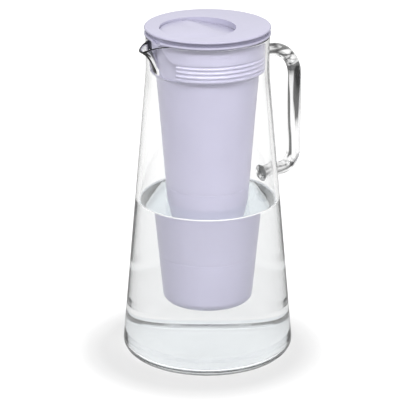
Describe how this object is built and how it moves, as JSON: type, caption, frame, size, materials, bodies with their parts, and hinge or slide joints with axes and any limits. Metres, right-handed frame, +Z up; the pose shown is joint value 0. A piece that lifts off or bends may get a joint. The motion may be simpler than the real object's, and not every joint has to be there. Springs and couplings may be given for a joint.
{
  "type": "water filter pitcher",
  "caption": "Tapered glass water pitcher with a fused handle and spout, a lavender drop-in reservoir with a hanging two-stage filter, and a lid with a rocking refill flap.",
  "frame": {"origin": "middle of the jug's flat base, on the jug's axis", "axes": "+Z up along the jug's axis, +X towards the handle, -X towards the spout"},
  "size_m": [0.161, 0.1376, 0.2708],
  "materials": {
    "glass": "polished, clear",
    "lavender_plastic": "satin moulded, pale lavender",
    "lavender_rubber": "satin silicone, pale lavender",
    "white_rubber": "matte silicone",
    "dark_rubber": "smooth O-ring rubber",
    "white_plastic": "plain moulded",
    "steel": "fine brushed stainless",
    "resin": "cast potting resin",
    "fibre": "hollow membrane fibre",
    "felt": "needled polyester felt",
    "beads": "packed resin beads",
    "carbon": "packed granular carbon"
  },
  "bodies": {
    "jug": {"jug_body": "glass", "jug_handle": "glass"},
    "insert": {"reservoir": "lavender_plastic", "collar_seal": "lavender_rubber", "inlet_screen": "steel"},
    "membrane_filter": {"membrane_cap": "lavender_plastic", "spigot_o_ring": "dark_rubber", "membrane_housing": "lavender_plastic", "fibre_cage": "white_plastic", "potting_disc": "resin", "membrane_fibres": "fibre"},
    "carbon_filter": {"carbon_cup": "lavender_plastic", "cup_o_ring": "dark_rubber", "cartridge_case": "white_plastic", "lower_felt": "felt", "ion_beads": "beads", "middle_felt": "felt", "carbon_bed": "carbon", "upper_felt": "felt", "cartridge_lid": "white_plastic"},
    "lid": {"lid_cover": "lavender_plastic", "lid_gasket": "white_rubber", "hinge_pin": "steel"},
    "flap": {"flap": "lavender_plastic"}
  },
  "joints": [
    {"name": "insert_lift", "type": "slide", "parent": "jug", "child": "insert", "axis": [0, 0, 1], "range_m": [0, 0.24]},
    {"name": "filter_turn", "type": "hinge", "parent": "insert", "child": "membrane_filter", "pos_m": [0, 0, 0.1415], "axis": [0, 0, 1], "range_deg": [0, 45]},
    {"name": "carbon_turn", "type": "hinge", "parent": "membrane_filter", "child": "carbon_filter", "pos_m": [0, 0, 0.082], "axis": [0, 0, 1], "range_deg": [0, 45]},
    {"name": "lid_lift", "type": "slide", "parent": "insert", "child": "lid", "axis": [0, 0, 1], "range_m": [0, 0.06]},
    {"name": "flap_tip", "type": "hinge", "parent": "lid", "child": "flap", "pos_m": [0, 0, 0.267], "axis": [0, 1, 0], "range_deg": [0, 75]}
  ]
}
